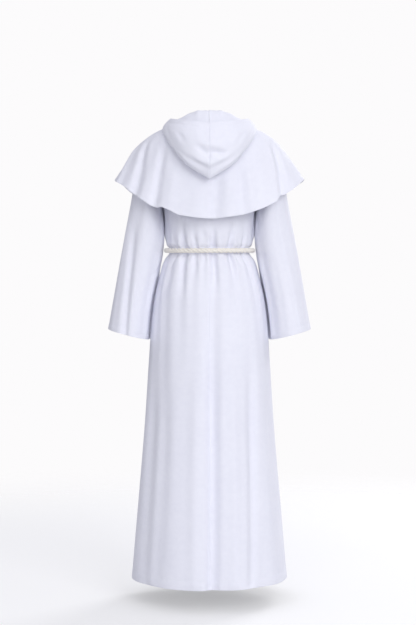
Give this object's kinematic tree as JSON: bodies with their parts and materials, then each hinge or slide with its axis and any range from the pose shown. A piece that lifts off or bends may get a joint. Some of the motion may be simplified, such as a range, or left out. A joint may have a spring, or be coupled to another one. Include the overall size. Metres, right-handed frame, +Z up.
{
  "type": "hooded robe with rope belt",
  "caption": "Full-length pullover robe in its worn form, with bell sleeves, a shoulder cape, a hood lying on the back and a rope belt.",
  "frame": {"origin": "between the wearer's shoulders, 10 mm below the neckline's back, where the shoulders carry the robe; 1430 mm above the ground the wearer stands on", "axes": "+Z up, -Y the robe's front, +Y its back, +X the wearer's left side"},
  "size_m": [0.6142, 0.3909, 1.4031],
  "materials": {
    "cloth": "plain woven polyester and cotton, matt white with a cool tint",
    "rope": "twisted cotton rope, off-white, matt"
  },
  "bodies": {
    "root": {"robe_back_left": "cloth", "robe_back_right": "cloth", "robe_front": "cloth", "sleeve_left": "cloth", "sleeve_right": "cloth", "cape_left": "cloth", "cape_right": "cloth", "hood_left": "cloth", "hood_right": "cloth", "belt_loop": "rope", "belt_knot": "rope", "belt_end_left": "rope", "belt_end_right": "rope", "belt_tip_left": "rope", "belt_tip_right": "rope"}
  },
  "joints": []
}
